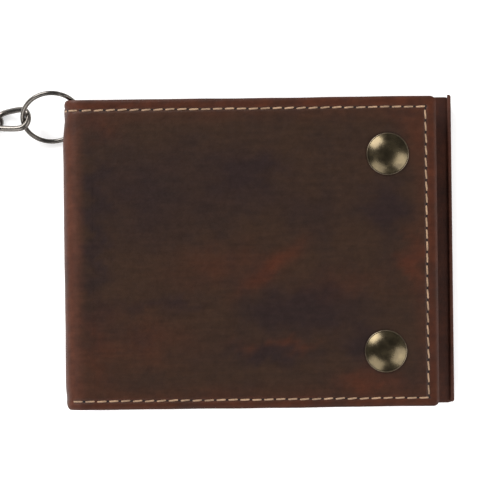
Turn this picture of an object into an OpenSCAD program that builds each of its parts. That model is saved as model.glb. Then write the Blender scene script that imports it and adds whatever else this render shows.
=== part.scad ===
// Bifold chain wallet: leather shell, turned hems, card slots, two snaps, ring, curb chain and clasp.
// The closed wallet lies flat: X runs from the spine to the free edge, Y towards the open top edge,
// Z up through the front cover. The origin is the middle of the footprint on the table.

/* [Wallet] */
// Width of the closed wallet, from the spine to the back half's free edge
wallet_w = 116; // [114:0.5:120]
// Height of the wallet along its spine
wallet_h = 91.3; // [90:0.1:96]
// Width of the margin of the back half that the front cover leaves open
back_margin = 5.5; // [4:0.5:6]
// Thickness of the shell leather
shell_t = 1.4; // [1.2:0.1:1.5]
// Thickness of each lining and pocket leather
pocket_t = 0.8; // [0.6:0.05:0.8]
// Height of the bill compartment in each half
bill_gap = 2.2; // [2:0.1:2.4]
// Gap between the two halves when closed
fold_gap = 1; // [0.9:0.1:1.2]
// Radius of the corners at the free edges
corner_r = 1.8; // [1:0.1:3]

/* [Stitching] */
// Distance of the stitch rows from the edges
stitch_edge = 3.1; // [2.5:0.1:3.5]
// Pitch of the stitches
stitch_pitch = 3.45; // [3:0.05:4]
// Length of the part of a stitch that shows
stitch_len = 2.6; // [2:0.1:2.7]
// Width of the thread
thread_w = 0.7; // [0.5:0.05:0.8]

/* [Snaps] */
// Diameter of the snap caps
cap_d = 12.5; // [11:0.5:13]
// Places of the upper and the lower snap
snap_at = [[38.1, 28.7], [36.9, -29.3]];

/* [Ring and chain] */
// Diameter of the ring to the middle of its wire
ring_d = 17.2; // [17:0.1:17.4]
// Diameter of the ring's wire
ring_wire = 1.4; // [1.2:0.1:1.4]
// Length of a chain link outside
link_l = 13.5; // [13.5:0.1:13.8]
// Width of a chain link outside
link_w = 8.2; // [8:0.1:8.4]
// Diameter of the chain's wire
link_wire = 1.8; // [1.7:0.1:1.8]

/* [Clasp] */
// Radius of the hook's nose, to the middle of its bar
hook_r = 5.6; // [5.4:0.1:5.8]
// Radius of the hook's bar
hook_bar = 1.6; // [1.5:0.1:1.7]

/* [Hidden] */
$fn = 48;

leather = [0.28, 0.17, 0.14];
leather_red = [0.4, 0.22, 0.17];
lining = [0.33, 0.2, 0.15];
thread_tan = [0.75, 0.6, 0.5];
brass = [0.5, 0.4, 0.28];
gunmetal = [0.4, 0.39, 0.38];
clear_film = [0.85, 0.88, 0.9];

// Fit gap between bodies that move, and the small gap between pieces of one body
play = 0.1;
skin = 0.02;

x_spine = -wallet_w / 2;
x_back = wallet_w / 2;
x_front = x_back - back_margin;
y_top = wallet_h / 2;
half_t = shell_t + bill_gap + 4 * pocket_t;
closed_t = 2 * half_t + fold_gap;
z_panel = shell_t + bill_gap;
z_slots = z_panel + pocket_t;

// The spine's folds, as points of the leather's middle layer in X and Z
spine_trim = 1.2;
knuckle = 0.82;
arc_r = 4.3;
fold_0 = [x_spine + 7.3, shell_t / 2];
fold_1 = [x_spine + 1.4, 6.6];
fold_2 = [x_spine + shell_t / 2, closed_t - shell_t / 2 - arc_r];
fold_3 = [x_spine + shell_t / 2 + arc_r, closed_t - shell_t / 2];
spine_h = wallet_h - 2 * spine_trim;

hem_w = 6;
facing_w = 10;
panel_shift = 0.45;
panel_x = x_spine + 10;
slot_x = x_spine + 12;
slot_step = 10;
slot_end = 28.5;
slot_h = 87;
window_edge = 7;
film_edge = 3;
film_t = 0.25;

groove_w = thread_w + 0.3;
groove_t = 0.5;
thread_t = 0.44;

cap_rim_t = 0.6;
cap_dome_t = 1.8;
post_r = 1.5;
socket_r = 5.2;
socket_cavity_r = 2.35;
socket_z = 7.2;
stud_flange_r = 4.5;
stud_bulb_r = 1.9;
stud_neck_r = 1.5;
stud_z = 8.4;
rivet_r = 1.4;
spring_r = 2.45;
spring_wire = 0.5;

ring_c = [-61.5, 41.25, 6.17];
ring_turn = 8;
ring_tilt = 37.8;
eyelet_at = [x_spine + 4.31, y_top - 6.2, 3.69];
eyelet_hole_r = 2.75;
eyelet_tube_r = 3.15;
eyelet_flange_r = 3.75;
eyelet_flange_t = 0.4;

// The chain walks from the ring in equal steps: each link has a heading, a roll and a height
bend_r = (link_w - link_wire) / 2;
link_slack = 0.5;
link_step = link_l - 2 * link_wire - link_slack;
roll = 37;
lie_z = bend_r * sin(roll) + link_wire / 2 + skin;
chain_start = [-69.1, 40.2, 6.2];
turn_step = 30;
run_1_n = 7;
turn_n = 6;
run_2_n = 7;
first_headings = [180, 197, 227, 256];
headings = concat(
    first_headings,
    [for (i = [1:run_1_n]) 270],
    [for (i = [1:turn_n]) 270 - turn_step * (i - 0.5)],
    [for (i = [1:run_2_n]) 90]
);
link_n = len(headings);
function joint_at(i) = i == 0
    ? [chain_start.x, chain_start.y]
    : joint_at(i - 1) + link_step * [cos(headings[i - 1]), sin(headings[i - 1])];
function joint_z(i) = i == 0 ? chain_start.z : lie_z;
function link_roll(i) = i == 0 ? roll + 8 : i % 2 == 0 ? roll : -roll;

clasp_at = joint_at(link_n);
clasp_z = 3.25;
eye_r = 3;
eye_wire = 2;
eye_roll = 33;
stem_r = 1.3;
barrel_r = 3.2;
barrel_x = 5.6;
barrel_l = 5;
nose_x = 24.5;
pivot = [12.4, -4.4];
hub_r = 2.1;
gate_t = 3.2;
cheek_t = 0.85;
pin_r = 0.8;
base_x = barrel_x + barrel_l;
cheek_x = base_x + 1.6;
clasp_t = gate_t + 2 * play + 2 * cheek_t;

module upright(h) {
    rotate([90, 0, 0]) linear_extrude(h, center = true) children();
}

// A strip of shell leather between two fold points, round at both ends, seen along the spine
module strip_2d(a, b) {
    run = b - a;
    translate(a) circle(d = shell_t);
    translate(b) circle(d = shell_t);
    translate(a) rotate(atan2(run.y, run.x)) translate([0, -shell_t / 2]) square([norm(run), shell_t]);
}

function towards(a, b, d) = a + (b - a) * d / norm(b - a);

// A plate with its two free-edge corners rounded
module free_plate(x0, x1, y0, y1, z0, t) {
    r = corner_r;
    translate([0, 0, z0]) linear_extrude(t) union() {
        translate([x0, y0]) square([x1 - x0 - r, y1 - y0]);
        translate([x0, y0 + r]) square([x1 - x0, y1 - y0 - 2 * r]);
        translate([x1 - r, y0 + r]) circle(r);
        translate([x1 - r, y1 - r]) circle(r);
    }
}

// Everything of the front half is made as in the back half, then turned over onto it
module front_half() {
    translate([0, 0, closed_t]) mirror([0, 0, 1]) children();
}

module stitch_row_x(x0, x1, y, z) {
    n = floor((x1 - x0) / stitch_pitch);
    for (i = [0:n - 1])
        translate([x0 + i * stitch_pitch, y - thread_w / 2, z]) cube([stitch_len, thread_w, thread_t]);
}

module stitch_row_y(x, y0, y1, z) {
    n = floor((y1 - y0) / stitch_pitch);
    for (i = [0:n - 1])
        translate([x - thread_w / 2, y0 + i * stitch_pitch, z]) cube([thread_w, stitch_len, thread_t]);
}

module groove_x(x0, x1, y) {
    translate([x0, y - groove_w / 2, -1]) cube([x1 - x0, groove_w, 1 + groove_t]);
}

module groove_y(x, y0, y1) {
    translate([x - groove_w / 2, y0, -1]) cube([groove_w, y1 - y0, 1 + groove_t]);
}

// The three outside stitch rows of one half, its free edge at x1, its first stitch at x0
module outside_stitches(x0, x1, z) {
    stitch_row_x(x0, x1 - stitch_edge, y_top - stitch_edge, z);
    stitch_row_x(x0, x1 - stitch_edge, -y_top + stitch_edge, z);
    stitch_row_y(x1 - stitch_edge, -y_top + stitch_edge + 1.5, y_top - stitch_edge - 1, z);
}

module outside_grooves(x0, x1) {
    groove_x(x0, x1 - stitch_edge + groove_w / 2, y_top - stitch_edge);
    groove_x(x0, x1 - stitch_edge + groove_w / 2, -y_top + stitch_edge);
    groove_y(x1 - stitch_edge, -y_top + stitch_edge, y_top - stitch_edge);
}

module shell_back() {
    color(leather)
    difference() {
        union() {
            free_plate(fold_0.x, x_back, -y_top, y_top, 0, shell_t);
            upright(spine_h) strip_2d(fold_0, towards(fold_1, fold_0, knuckle));
        }
        outside_grooves(fold_0.x + 1, x_back);
        at_eyelet() cylinder(r = eyelet_tube_r, h = 6, center = true);
    }
}

module spine_middle() {
    color(leather_red)
    upright(spine_h) strip_2d(towards(fold_1, fold_2, knuckle), towards(fold_2, fold_1, knuckle));
}

module spine_upper() {
    trim = asin(knuckle / arc_r);
    color(leather_red)
    translate([fold_3.x, 0, fold_2.y]) difference() {
        upright(spine_h) union() {
            intersection() {
                difference() {
                    circle(arc_r + shell_t / 2);
                    circle(arc_r - shell_t / 2);
                }
                polygon([[0, 0], 9 * [-cos(trim), sin(trim)], [-9, 9], 9 * [-sin(trim), cos(trim)]]);
            }
            translate(arc_r * [-cos(trim), sin(trim)]) circle(d = shell_t);
            translate(arc_r * [-sin(trim), cos(trim)]) circle(d = shell_t);
        }
        translate([0, y_top - stitch_edge, 0]) rotate([90, 0, 0])
            ring_of(arc_r + shell_t / 2 - groove_t, arc_r + 3, groove_w);
    }
}

// A flat ring round Z, centred on Z = 0
module ring_of(r0, r1, t) {
    difference() {
        cylinder(r = r1, h = t, center = true);
        cylinder(r = r0, h = t + 1, center = true);
    }
}

module shell_front() {
    color(leather)
    front_half() difference() {
        union() {
            free_plate(fold_3.x + knuckle, x_front, -y_top, y_top, 0, shell_t);
            upright(wallet_h - 2 * corner_r)
                translate([fold_3.x + knuckle, shell_t / 2]) circle(d = shell_t);
        }
        outside_grooves(fold_3.x - 1, x_front);
        for (at = snap_at)
            translate([at.x, at.y, -1]) cylinder(r = post_r + skin, h = 4);
    }
}

// The turned hem along the bottom and the free edge holds the lining off the shell
module hem(x1) {
    translate([panel_x, -y_top, shell_t]) cube([x1 - panel_x - hem_w, hem_w, bill_gap]);
    difference() {
        free_plate(x1 - hem_w, x1, -y_top, y_top, shell_t, bill_gap);
        translate([x1 - hem_w - 1, y_top - 0.5, 0]) cube([hem_w + 2, 1, 9]);
    }
}

module hem_back() {
    color(lining) hem(x_back);
}

module hem_front() {
    color(lining) front_half() hem(x_front);
}

module top_facing(x1) {
    translate([panel_x, y_top - facing_w - 0.4, shell_t])
        cube([x1 - hem_w - panel_x - play, facing_w, pocket_t]);
}

module top_facing_back() {
    color(lining) top_facing(x_back);
}

module top_facing_front() {
    color(lining) front_half() top_facing(x_front);
}

module snap_holes(z, r) {
    for (at = snap_at)
        translate([at.x, at.y, z - 1]) cylinder(r = r, h = 3);
}

module inner_panel_back() {
    color(lining) difference() {
        free_plate(panel_x, x_back, -y_top + panel_shift, y_top + panel_shift, z_panel, pocket_t);
        snap_holes(z_panel, rivet_r + skin);
    }
}

module inner_panel_front() {
    color(lining) front_half() difference() {
        free_plate(panel_x, x_front - 0.3, -y_top + 0.3, y_top - 0.8, z_panel, pocket_t);
        snap_holes(z_panel, post_r + skin);
    }
}

// The raised bound edge that shows beside the cover
module edge_binding_back() {
    binding_w = 1.1;
    color(leather_red) difference() {
        free_plate(x_back - 3, x_back, -y_top + panel_shift, y_top + panel_shift, z_slots, pocket_t);
        translate([x_back - 4, -y_top - 1, z_slots - 1]) cube([4 - binding_w, wallet_h + 4, 3]);
    }
}

module card_slot(n) {
    x0 = slot_x + n * slot_step;
    translate([x0, -slot_h / 2, z_slots + n * pocket_t]) cube([slot_end - x0, slot_h, pocket_t]);
}

module card_slot_back_1() {
    color(lining) card_slot(0);
}

module card_slot_back_2() {
    color(leather) card_slot(1);
}

module card_slot_back_3() {
    color(leather_red) card_slot(2);
}

module card_slot_front_1() {
    color(lining) front_half() card_slot(0);
}

module card_slot_front_2() {
    color(leather) front_half() card_slot(1);
}

module window_opening(edge, z, t) {
    x0 = slot_x + 2 * slot_step + edge;
    translate([x0, -slot_h / 2 + edge, z]) cube([slot_end - edge - x0, slot_h - 2 * edge, t]);
}

module window_frame() {
    color(leather_red) front_half() difference() {
        card_slot(2);
        window_opening(window_edge, z_slots, 5);
        window_opening(film_edge, z_slots + pocket_t, pocket_t + film_t + skin);
    }
}

module window_film() {
    color(clear_film, 0.4) front_half() window_opening(film_edge + skin, z_slots + 2 * pocket_t, film_t);
}

module thread_back() {
    color(thread_tan) outside_stitches(fold_0.x + 2, x_back, groove_t - thread_t);
}

module thread_front() {
    color(thread_tan) front_half() outside_stitches(fold_3.x + 1.2, x_front, groove_t - thread_t);
}

// The top row runs on round the spine
module thread_spine() {
    color(thread_tan)
    translate([fold_3.x, y_top - stitch_edge, fold_2.y]) for (a = [22, 60])
        rotate([0, a, 0]) translate([-(arc_r + shell_t / 2 - groove_t + 0.05 + thread_t), -thread_w / 2, -0.9])
            cube([thread_t, thread_w, 1.8]);
}

// The same seam seen from inside the front half
module thread_lining() {
    z = z_slots;
    color(thread_tan) front_half() {
        stitch_row_x(panel_x + 1, x_front - stitch_edge, -y_top + stitch_edge - 1.6, z);
        stitch_row_y(x_front - stitch_edge, -y_top + stitch_edge + 1.5, y_top - stitch_edge - 2, z);
    }
}

module slot_stitches() {
    for (n = [0:2]) {
        x0 = slot_x + n * slot_step + 1;
        x1 = n == 2 ? slot_end - 1.5 : slot_x + (n + 1) * slot_step - 0.2;
        z = z_slots + (n + 1) * pocket_t;
        stitch_row_x(x0, x1, slot_h / 2 - 1.5, z);
        stitch_row_x(x0, x1, -slot_h / 2 + 1.5, z);
    }
    stitch_row_y(slot_end - 1.5, -slot_h / 2 + 2, slot_h / 2 - 2, z_slots + 3 * pocket_t);
}

module thread_slots_back() {
    color(thread_tan) slot_stitches();
}

module thread_slots_front() {
    color(thread_tan) front_half() slot_stitches();
}

// A spherical cap of height t over a circle of radius r
module dome(r, t) {
    big = (r * r + t * t) / (2 * t);
    rotate_extrude() intersection() {
        translate([0, t - big]) circle(big, $fn = 96);
        square([r, t]);
    }
}

module snap_cap(at) {
    post_z = socket_z + 1.8;
    color(brass) translate([at.x, at.y, 0]) {
        translate([0, 0, closed_t]) cylinder(d = cap_d, h = cap_rim_t);
        translate([0, 0, closed_t + cap_rim_t]) dome(cap_d / 2 - 0.35, cap_dome_t);
        translate([0, 0, post_z]) cylinder(r = post_r, h = closed_t - post_z);
        translate([0, 0, post_z]) cylinder(r = 2.1, h = 0.3);
    }
}

module snap_cap_upper() {
    snap_cap(snap_at[0]);
}

module snap_cap_lower() {
    snap_cap(snap_at[1]);
}

module snap_socket(at) {
    top = closed_t - z_slots;
    web_z = socket_z + 2.1;
    color(gunmetal) translate([at.x, at.y, 0]) difference() {
        union() {
            translate([0, 0, socket_z]) cylinder(r = 3.9, h = top - socket_z);
            translate([0, 0, top - 1]) cylinder(r = socket_r, h = 1);
        }
        translate([0, 0, socket_z - 1]) cylinder(r = socket_cavity_r, h = web_z - socket_z + 1);
        translate([0, 0, socket_z]) cylinder(r = post_r + skin, h = 9);
        translate([0, 0, socket_z + 0.35]) cylinder(r = spring_r + spring_wire, h = spring_wire + 0.2);
    }
}

module snap_socket_upper() {
    snap_socket(snap_at[0]);
}

module snap_socket_lower() {
    snap_socket(snap_at[1]);
}

// A sprung wire ring, split at one side
module snap_spring(at) {
    color(gunmetal) translate([at.x, at.y, socket_z + 0.45 + spring_wire / 2])
        rotate(20) rotate_extrude(angle = 320) translate([spring_r - 0.05, 0]) circle(d = spring_wire);
}

module snap_spring_upper() {
    snap_spring(snap_at[0]);
}

module snap_spring_lower() {
    snap_spring(snap_at[1]);
}

module snap_stud(at) {
    body_top = 6.9;
    color(gunmetal) translate([at.x, at.y, 0]) difference() {
        union() {
            translate([0, 0, z_slots]) cylinder(r = stud_flange_r, h = 0.5);
            translate([0, 0, z_slots]) cylinder(r1 = 3.6, r2 = 2.6, h = body_top - z_slots);
            translate([0, 0, body_top - 1]) cylinder(r = stud_neck_r, h = 1.8);
            translate([0, 0, stud_z - 0.9]) cylinder(r = stud_bulb_r, h = 0.5);
            translate([0, 0, stud_z - 0.4]) cylinder(r1 = stud_bulb_r, r2 = 1.4, h = 0.4);
        }
        translate([0, 0, z_slots - 1]) cylinder(r = rivet_r + skin, h = 2.6);
    }
}

module snap_stud_upper() {
    snap_stud(snap_at[0]);
}

module snap_stud_lower() {
    snap_stud(snap_at[1]);
}

module stud_rivet(at) {
    color(brass) translate([at.x, at.y, 0]) {
        translate([0, 0, z_panel - 0.5]) cylinder(r = 4.2, h = 0.5);
        translate([0, 0, z_panel - 0.1]) cylinder(r = rivet_r, h = pocket_t + 1.5);
    }
}

module stud_rivet_upper() {
    stud_rivet(snap_at[0]);
}

module stud_rivet_lower() {
    stud_rivet(snap_at[1]);
}

// The eyelet stands square to the leather that rises into the spine
module at_eyelet() {
    translate(eyelet_at) rotate([0, 45, 0]) children();
}

module eyelet() {
    out = -shell_t / 2 - eyelet_flange_t;
    color(gunmetal) at_eyelet() difference() {
        union() {
            translate([0, 0, out]) cylinder(r = eyelet_flange_r, h = eyelet_flange_t);
            translate([0, 0, out]) cylinder(r = eyelet_tube_r, h = -out + shell_t / 2 + eyelet_flange_t);
        }
        cylinder(r = eyelet_hole_r, h = 6, center = true);
    }
}

module eyelet_washer() {
    color(gunmetal) at_eyelet() translate([0, 0, shell_t / 2]) difference() {
        cylinder(r = eyelet_flange_r, h = eyelet_flange_t);
        translate([0, 0, -1]) cylinder(r = eyelet_tube_r + skin, h = 3);
    }
}

module ring() {
    color(gunmetal) translate(ring_c) rotate([0, 0, ring_turn]) rotate([ring_tilt, 0, 0])
        rotate_extrude($fn = 96) translate([ring_d / 2, 0]) circle(d = ring_wire);
}

// One oval link along X, centred, in the XY plane
module oval_link() {
    straight = link_l - link_w;
    for (s = [-1, 1]) {
        translate([-straight / 2, s * bend_r, 0]) rotate([0, 90, 0]) cylinder(d = link_wire, h = straight);
        translate([s * straight / 2, 0, 0]) rotate(s > 0 ? -90 : 90)
            rotate_extrude(angle = 180) translate([bend_r, 0]) circle(d = link_wire);
    }
}

module chain_link(i) {
    a = joint_at(i);
    b = joint_at(i + 1);
    rise = joint_z(i + 1) - joint_z(i);
    color(gunmetal)
    translate([(a.x + b.x) / 2, (a.y + b.y) / 2, (joint_z(i) + joint_z(i + 1)) / 2])
        rotate([0, -atan2(rise, link_step), headings[i]]) rotate([link_roll(i), 0, 0]) oval_link();
}

module link_1() {
    chain_link(0);
}

module link_2() {
    chain_link(1);
}

module link_3() {
    chain_link(2);
}

module chain_run_1() {
    for (i = [3:3 + run_1_n])
        chain_link(i);
}

module chain_turn() {
    for (i = [4 + run_1_n:3 + run_1_n + turn_n])
        chain_link(i);
}

module chain_run_2() {
    for (i = [4 + run_1_n + turn_n:link_n - 1])
        chain_link(i);
}

// The clasp lies flat past the last link, its eye first
module at_clasp() {
    lead = eye_r - link_wire / 2 - link_slack / 2 + 0.05;
    translate([clasp_at.x, clasp_at.y + lead, clasp_z]) rotate(headings[link_n - 1]) children();
}

module along_x(x, r, l) {
    translate([x, 0, 0]) rotate([0, 90, 0]) cylinder(r = r, h = l);
}

module swivel_eye() {
    color(gunmetal) at_clasp() {
        rotate([eye_roll, 0, 0]) rotate_extrude() translate([eye_r, 0]) circle(d = eye_wire);
        along_x(eye_r, stem_r, barrel_x + 3.6 - eye_r);
        along_x(barrel_x + 2.2, 2, 1.4);
    }
}

// The barrel turns on the eye's stem and carries the gate between two cheeks
module clasp_barrel() {
    color(gunmetal) at_clasp() difference() {
        union() {
            along_x(barrel_x, barrel_r, barrel_l - 1);
            translate([0, 0, -clasp_t / 2]) linear_extrude(clasp_t) union() {
                translate([base_x - 2, -4.4]) square([cheek_x - base_x + 2, 11.4]);
                translate(pivot) circle(hub_r + 0.5);
            }
        }
        along_x(barrel_x - 1, stem_r + play, 4);
        along_x(barrel_x + 2.1, 2.1, 1.7);
        translate([pivot.x, pivot.y, 0]) cylinder(r = hub_r + 0.25, h = gate_t + 2 * play, center = true);
        translate([pivot.x, pivot.y - 5, -gate_t / 2 - play]) cube([7, 7.6, gate_t + 2 * play]);
        translate([pivot.x, pivot.y, 0]) cylinder(r = pin_r + skin, h = 9, center = true);
    }
}

// The hook's bar runs along the far side, through a collar and round the nose
module clasp_hook() {
    color(gunmetal) at_clasp() {
        translate([cheek_x, hook_r, 0]) rotate([0, 90, 0])
            cylinder(r = hook_bar, h = nose_x - 0.4 - cheek_x);
        translate([nose_x - 1.4, hook_r, 0]) rotate([0, 90, 0])
            cylinder(r = hook_bar + 0.25, h = 1.8);
        translate([nose_x, 0, 0]) rotate(-62) rotate_extrude(angle = 152)
            translate([hook_r, 0]) circle(hook_bar);
    }
}

module clasp_gate() {
    tip = [nose_x - 0.2, -hook_r - 0.15];
    reach = tip - pivot;
    color(gunmetal) at_clasp() difference() {
        union() {
            translate([pivot.x, pivot.y, 0]) cylinder(r = hub_r, h = gate_t, center = true);
            translate([pivot.x, pivot.y, -gate_t / 2]) rotate(atan2(reach.y, reach.x)) {
                translate([0, -1, 0]) cube([norm(reach), 2, gate_t]);
                translate([norm(reach) * 0.45, -2.6, 0]) cylinder(r = 1.5, h = gate_t);
                translate([norm(reach) * 0.45 - 1.5, -2.6, 0]) cube([3, 2, gate_t]);
            }
        }
        translate([pivot.x, pivot.y, 0]) cylinder(r = pin_r + 0.05, h = 9, center = true);
        translate([pivot.x, pivot.y, 0]) cylinder(r = 1.75, h = 1.2, center = true);
        translate([nose_x, 0, 0]) rotate(-70) rotate_extrude(angle = 90) translate([hook_r, 0])
            circle(hook_bar + play);
    }
}

module gate_pin() {
    color(brass) at_clasp() translate([pivot.x, pivot.y, 0])
        cylinder(r = pin_r, h = clasp_t, center = true);
}

module gate_spring() {
    color(brass) at_clasp() translate([pivot.x, pivot.y, 0]) for (z = [-0.3, 0.3])
        translate([0, 0, z]) rotate_extrude() translate([1.3, 0]) circle(0.25);
}

shell_back();
spine_middle();
spine_upper();
shell_front();
hem_back();
hem_front();
top_facing_back();
top_facing_front();
inner_panel_back();
inner_panel_front();
edge_binding_back();
card_slot_back_1();
card_slot_back_2();
card_slot_back_3();
card_slot_front_1();
card_slot_front_2();
window_frame();
window_film();
thread_back();
thread_front();
thread_spine();
thread_lining();
thread_slots_back();
thread_slots_front();
snap_cap_upper();
snap_cap_lower();
snap_socket_upper();
snap_socket_lower();
snap_spring_upper();
snap_spring_lower();
snap_stud_upper();
snap_stud_lower();
stud_rivet_upper();
stud_rivet_lower();
eyelet();
eyelet_washer();
ring();
link_1();
link_2();
link_3();
chain_run_1();
chain_turn();
chain_run_2();
swivel_eye();
clasp_barrel();
clasp_hook();
clasp_gate();
gate_pin();
gate_spring();
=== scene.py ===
"""Chain wallet: shaped leather, stitching, snaps, ring, curb chain and clasp, built round its frame."""

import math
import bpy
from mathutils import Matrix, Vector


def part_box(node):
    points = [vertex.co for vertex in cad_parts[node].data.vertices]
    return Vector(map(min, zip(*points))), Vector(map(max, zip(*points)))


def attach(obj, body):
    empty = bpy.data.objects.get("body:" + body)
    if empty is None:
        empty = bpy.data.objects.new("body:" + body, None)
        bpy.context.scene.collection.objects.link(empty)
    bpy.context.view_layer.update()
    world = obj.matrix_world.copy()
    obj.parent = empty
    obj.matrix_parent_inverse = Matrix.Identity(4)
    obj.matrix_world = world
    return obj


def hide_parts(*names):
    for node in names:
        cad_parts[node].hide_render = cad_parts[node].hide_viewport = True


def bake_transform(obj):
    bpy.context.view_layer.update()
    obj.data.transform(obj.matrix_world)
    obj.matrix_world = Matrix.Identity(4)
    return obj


bl_info = {
    "name": "Chain Wallet Builder",
    "version": (1, 0, 0),
    "blender": (4, 5, 0),
    "location": "View3D > Sidebar > Wallet",
    "description": "Builds a bifold chain wallet piece by piece around its frame",
    "category": "Object",
}

import bpy
from mathutils import Matrix, Vector

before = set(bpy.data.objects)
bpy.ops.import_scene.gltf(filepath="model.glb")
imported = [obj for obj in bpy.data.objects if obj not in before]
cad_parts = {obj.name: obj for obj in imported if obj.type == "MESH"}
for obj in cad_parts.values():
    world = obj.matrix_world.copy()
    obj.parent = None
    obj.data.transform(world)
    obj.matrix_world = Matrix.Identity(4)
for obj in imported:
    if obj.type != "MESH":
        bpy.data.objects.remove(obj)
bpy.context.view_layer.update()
MM = 0.001

# Sizes that the frame already settles
COVER_LOW, COVER_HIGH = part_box("shell_front")
HALF_H = COVER_HIGH[1]
COVER_X = COVER_HIGH[0]
BACK_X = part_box("shell_back")[1][0]
TOP_Z = COVER_HIGH[2]
SHELL_T = COVER_HIGH[2] - COVER_LOW[2]
SPINE_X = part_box("spine_upper")[0][0]

# The leather's middle line round the spine, as corners in X and Z with the radius of each bend
SPINE_CORNERS = [
    (SPINE_X + 14 * MM, SHELL_T / 2, 0),
    (SPINE_X + 7.3 * MM, SHELL_T / 2, 6 * MM),
    (SPINE_X + 1.4 * MM, 6.6 * MM, 3 * MM),
    (SPINE_X + SHELL_T / 2, 9.6 * MM, 1.2 * MM),
    (SPINE_X + SHELL_T / 2, TOP_Z - SHELL_T / 2, 4.29 * MM),
    (SPINE_X + 14 * MM, TOP_Z - SHELL_T / 2, 0),
]
BEND_STEPS = 24
FOLD_1 = Vector((SPINE_X + 1.4 * MM, 0, 6.6 * MM))
FOLD_2 = Vector((SPINE_X + SHELL_T / 2, 0, 9.6 * MM))
FOLD_3 = Vector((SPINE_X + 5 * MM, 0, TOP_Z - SHELL_T / 2))
# The flat halves begin here, and the cover's stitches a little before
PLATE_X = SPINE_X + 9 * MM
ROW_X = SPINE_X + 6.2 * MM
WINDOW_MARGIN = 7 * MM


# ---------------------------------------------------------------- properties


class WalletSizes(bpy.types.PropertyGroup):
    """Sizes of the leather parts."""

    stitch_edge: bpy.props.FloatProperty(
        name="Stitch margin", description="Distance of the stitch rows from the edge",
        default=3.1 * MM, unit="LENGTH", precision=5)
    stitch_pitch: bpy.props.FloatProperty(
        name="Stitch pitch", description="Distance from one stitch to the next",
        default=3.45 * MM, unit="LENGTH", precision=5)
    stitch_length: bpy.props.FloatProperty(
        name="Stitch length", description="Length of a stitch that shows",
        default=2.8 * MM, unit="LENGTH", precision=5)
    thread_width: bpy.props.FloatProperty(
        name="Thread width", description="Width of the waxed thread",
        default=0.56 * MM, unit="LENGTH", precision=5)
    corner_radius: bpy.props.FloatProperty(
        name="Corner radius", description="Radius of the corners at the free edge",
        default=1.8 * MM, unit="LENGTH", precision=5)
    low_edge: bpy.props.FloatProperty(
        name="Lower stitch margin", description="Distance of the lowest stitch row from the edge",
        default=2.55 * MM, unit="LENGTH", precision=5)
    groove_depth: bpy.props.FloatProperty(
        name="Groove depth", description="How far the seam pulls the leather down",
        default=0.34 * MM, unit="LENGTH", precision=5)


class WalletColours(bpy.types.PropertyGroup):
    """Colours of the leather, thread and metal."""

    chocolate: bpy.props.FloatVectorProperty(
        name="Field", description="Dark waxed middle of the leather", subtype="COLOR",
        default=(0.0192, 0.0084, 0.0072))
    brown: bpy.props.FloatVectorProperty(
        name="Brown", description="Leather between the dark and the red", subtype="COLOR",
        default=(0.0325, 0.0140, 0.0066))
    red_brown: bpy.props.FloatVectorProperty(
        name="Border", description="Redder leather outside the stitching", subtype="COLOR",
        default=(0.0640, 0.0160, 0.0057))
    # Lighter colour for the bend of the spine: partly pull-up lightening, partly a painted highlight on the
    # fold
    pull_up_and_highlight: bpy.props.FloatVectorProperty(
        name="Pull-up", description="Lighter leather where it is bent", subtype="COLOR",
        default=(0.1020, 0.0325, 0.0180))
    # The edges' light grey-pink is partly the burnished edge's own colour, partly a painted highlight of
    # the edge lit from the side
    edge: bpy.props.FloatVectorProperty(
        name="Cut edge", description="Burnished edge of the leather", subtype="COLOR",
        default=(0.15, 0.085, 0.068))
    thread: bpy.props.FloatVectorProperty(
        name="Thread", description="Waxed tan thread", subtype="COLOR",
        default=(0.50, 0.31, 0.185))
    brass: bpy.props.FloatVectorProperty(
        name="Brass", description="Antique brass of the snap caps", subtype="COLOR",
        default=(0.140, 0.110, 0.065))
    gunmetal: bpy.props.FloatVectorProperty(
        name="Gunmetal", description="Grey metal of the ring and chain", subtype="COLOR",
        default=(0.20, 0.18, 0.16))


class ChainSizes(bpy.types.PropertyGroup):
    """Sizes of the chain's links."""

    link_length: bpy.props.FloatProperty(
        name="Link length", description="Length of a link outside",
        default=13.5 * MM, unit="LENGTH", precision=5)
    link_width: bpy.props.FloatProperty(
        name="Link width", description="Width of a link outside",
        default=8.2 * MM, unit="LENGTH", precision=5)
    wire: bpy.props.FloatProperty(
        name="Wire", description="Diameter of a link's wire",
        default=1.8 * MM, unit="LENGTH", precision=5)
    twist: bpy.props.FloatProperty(
        name="Twist", description="Turn of a link from one end to the other",
        default=math.radians(76), subtype="ANGLE")


# ---------------------------------------------------------------- mesh helpers


def deselect():
    """Nothing selected, in object mode."""
    if bpy.context.mode != "OBJECT":
        bpy.ops.object.mode_set(mode="OBJECT")
    bpy.ops.object.select_all(action="DESELECT")


def pick(*objects):
    """Selects just these, the last one active."""
    deselect()
    for o in objects:
        o.select_set(True)
    bpy.context.view_layer.objects.active = objects[-1]


def active(name):
    """The object just made, with its mesh, under its own name."""
    piece = bpy.context.object
    piece.name = name
    piece.data.name = name
    return piece


def shape(piece, move):
    """Sends every vertex where move says."""
    for v in piece.data.vertices:
        v.co = move(v.co.copy())
    piece.data.update()


def apply_modifier(piece, kind, **values):
    """Adds a modifier with its values and applies it."""
    pick(piece)
    modifier = piece.modifiers.new(kind.title(), kind)
    for key, value in values.items():
        setattr(modifier, key, value)
    bpy.ops.object.modifier_apply(modifier=modifier.name)


def edit(piece, *actions):
    """Runs edit mode operators, each with its values, on the whole of a piece."""
    pick(piece)
    bpy.ops.object.mode_set(mode="EDIT")
    bpy.ops.mesh.select_all(action="SELECT")
    for operator, values in actions:
        operator(**values)
    bpy.ops.object.mode_set(mode="OBJECT")


def cut(piece, drill):
    """Takes the drill's shape out of a piece, and the drill away."""
    apply_modifier(piece, "BOOLEAN", operation="DIFFERENCE", object=drill, solver="EXACT")
    bpy.data.objects.remove(drill)


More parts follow.
